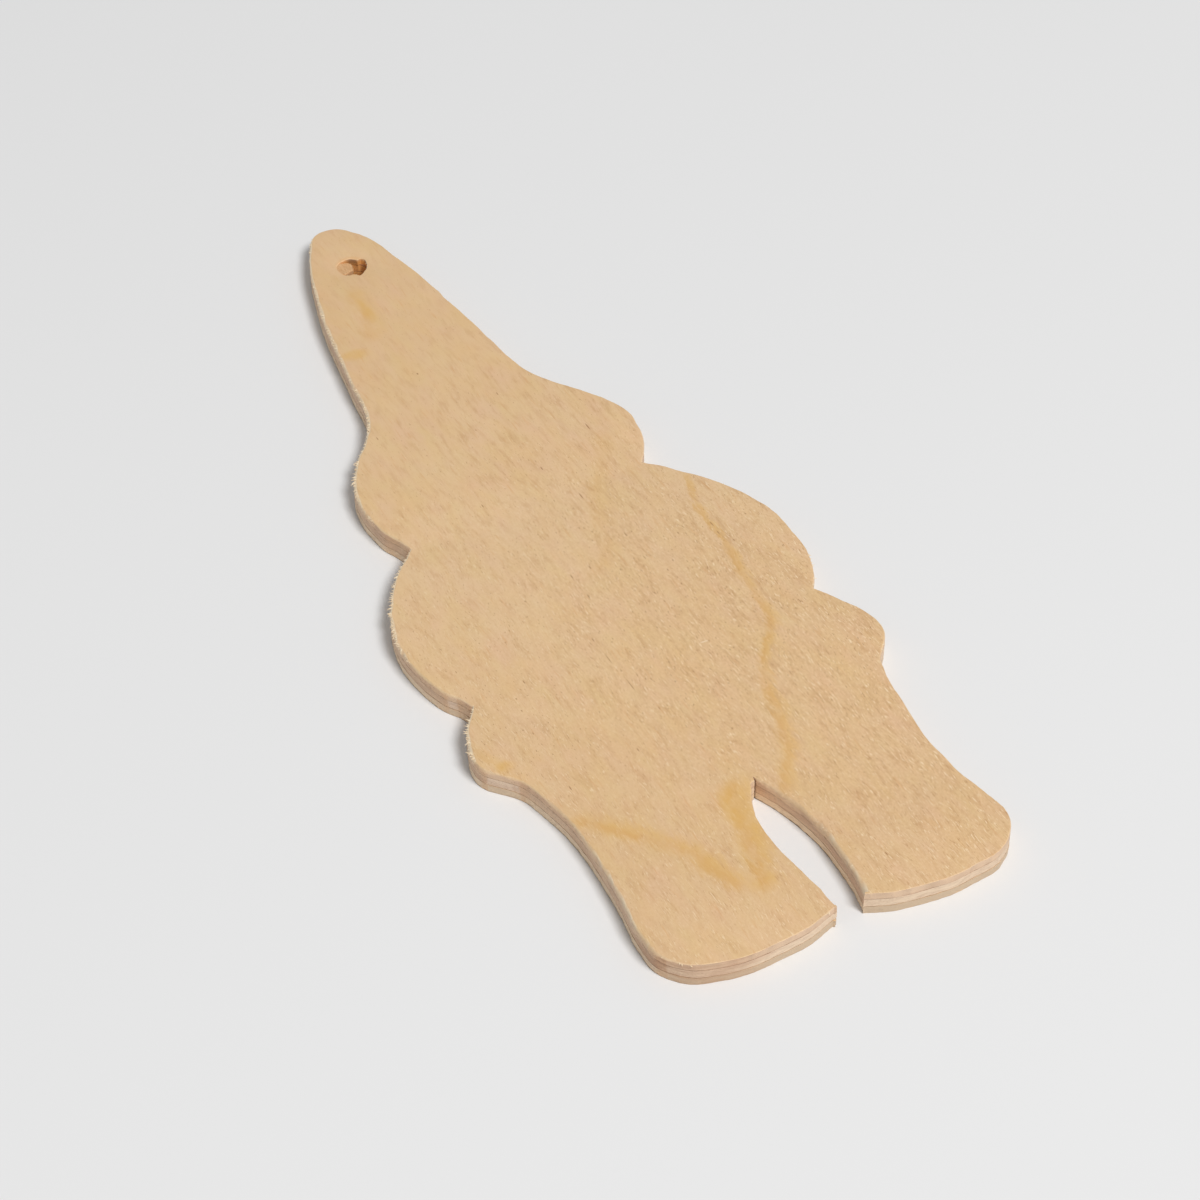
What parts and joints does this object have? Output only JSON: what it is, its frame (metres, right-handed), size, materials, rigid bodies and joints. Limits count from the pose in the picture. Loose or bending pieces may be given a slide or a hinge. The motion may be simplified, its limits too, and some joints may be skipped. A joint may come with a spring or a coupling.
{
  "type": "plywood figure blank",
  "caption": "Flat plywood figure blank with a tall pointed hat, lobed sides, splayed legs and a hanging hole near the tip of the hat.",
  "frame": {"origin": "middle of the outline's box, on the back face that the blank lies on", "axes": "+Z out of the front face, +Y from the soles to the tip of the hat, +X to the right of someone looking at the front"},
  "size_m": [0.0512, 0.14, 0.003],
  "materials": {
    "face_wood": "sanded, unfinished",
    "core_wood": "sawn, unfinished",
    "back_wood": "sanded, unfinished",
    "glue": "cured wood glue"
  },
  "bodies": {
    "root": {"back_veneer": "back_wood", "lower_glue_film": "glue", "core_veneer": "core_wood", "upper_glue_film": "glue", "face_veneer": "face_wood"}
  },
  "joints": []
}
